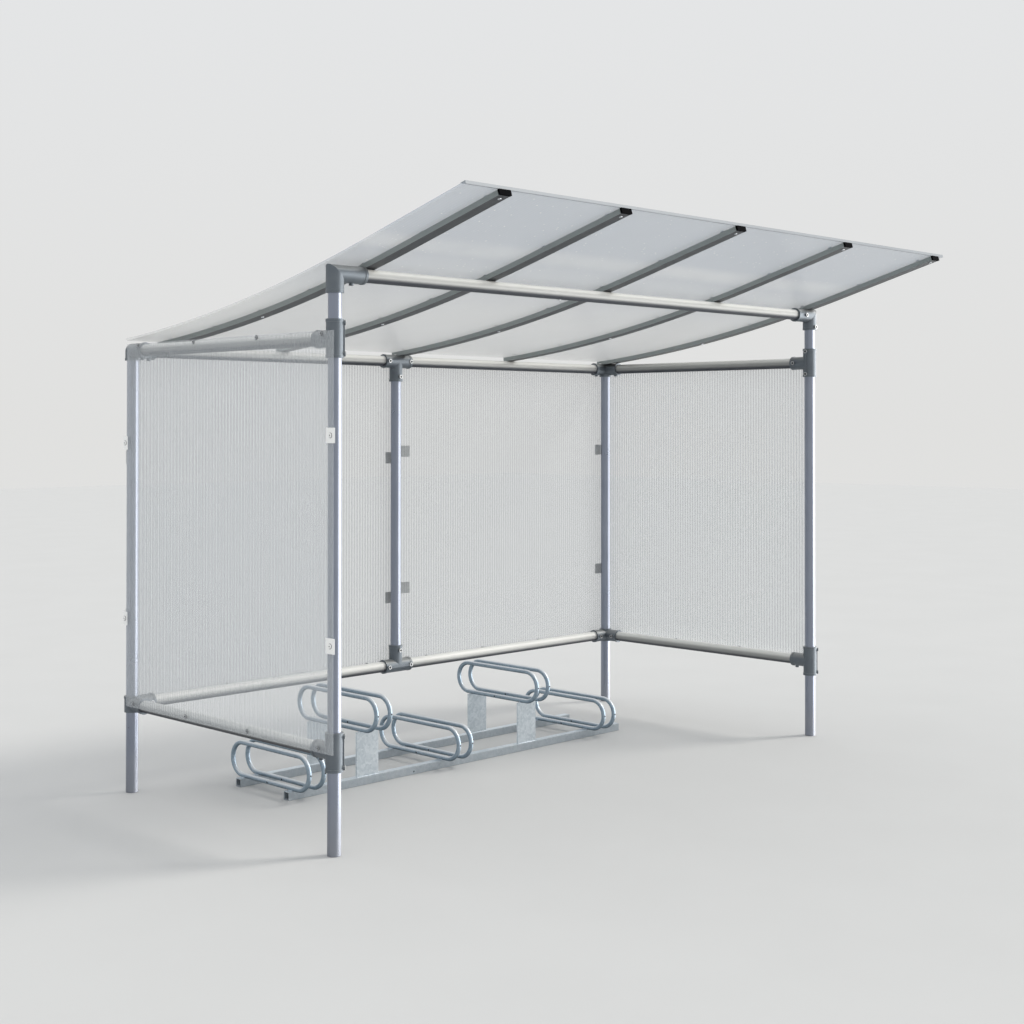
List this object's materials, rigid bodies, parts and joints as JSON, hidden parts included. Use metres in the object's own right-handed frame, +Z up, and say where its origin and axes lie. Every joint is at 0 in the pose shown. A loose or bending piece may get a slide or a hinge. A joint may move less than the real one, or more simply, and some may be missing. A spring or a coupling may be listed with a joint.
{
  "type": "bike shelter",
  "caption": "Open-fronted bike shelter: round tube frame in cast sockets, translucent roof and wall sheets, and a rack of high and low wheel loops inside.",
  "frame": {"origin": "on the ground under the middle of the overall box", "axes": "+X to the right along the open front, seen from the front; the open front faces -Y; +Z up"},
  "size_m": [3.1018, 2.1096, 2.3332],
  "materials": {
    "tube": "satin anodised",
    "casting": "rough cast",
    "rafter": "mill finish",
    "trim": "white coated",
    "roof_sheet": "translucent twin-wall",
    "wall_sheet": "clear twin-wall, fine upright ribs",
    "galvanised": "hot-dip galvanised",
    "clip": "light brushed",
    "cap": "black moulded"
  },
  "bodies": {
    "root": {"beam_front": "tube", "clips_back": "clip", "clips_left": "clip", "clips_right": "clip", "corner_left_bottom": "casting", "corner_left_top": "casting", "corner_right_bottom": "casting", "corner_right_top": "casting", "elbow_left": "casting", "elbow_right": "casting", "panel_back_left": "wall_sheet", "panel_back_right": "wall_sheet", "panel_left": "wall_sheet", "panel_right": "wall_sheet", "post_back_left": "tube", "post_back_middle": "tube", "post_back_right": "tube", "post_front_left": "tube", "post_front_right": "tube", "rack_loop_1_left": "galvanised", "rack_loop_1_right": "galvanised", "rack_loop_2_left": "galvanised", "rack_loop_2_right": "galvanised", "rack_loop_3_left": "galvanised", "rack_loop_3_right": "galvanised", "rack_loop_4_left": "galvanised", "rack_loop_4_right": "galvanised", "rack_loop_5_left": "galvanised", "rack_loop_5_right": "galvanised", "rack_plate_2_front": "galvanised", "rack_plate_2_rear": "galvanised", "rack_plate_4_front": "galvanised", "rack_plate_4_rear": "galvanised", "rack_rail_front": "galvanised", "rack_rail_rear": "galvanised", "rafter_1": "rafter", "rafter_2": "rafter", "rafter_3": "rafter", "rafter_4": "rafter", "rafter_5": "rafter", "rafter_caps": "cap", "rail_back_bottom": "tube", "rail_back_top": "tube", "rail_left_bottom": "tube", "rail_left_top": "tube", "rail_right_bottom": "tube", "rail_right_top": "tube", "roof_front_trim": "trim", "roof_sheet": "roof_sheet", "tee_left_bottom": "casting", "tee_left_top": "casting", "tee_middle_bottom": "casting", "tee_middle_top": "casting", "tee_right_bottom": "casting", "tee_right_top": "casting"}
  },
  "joints": []
}
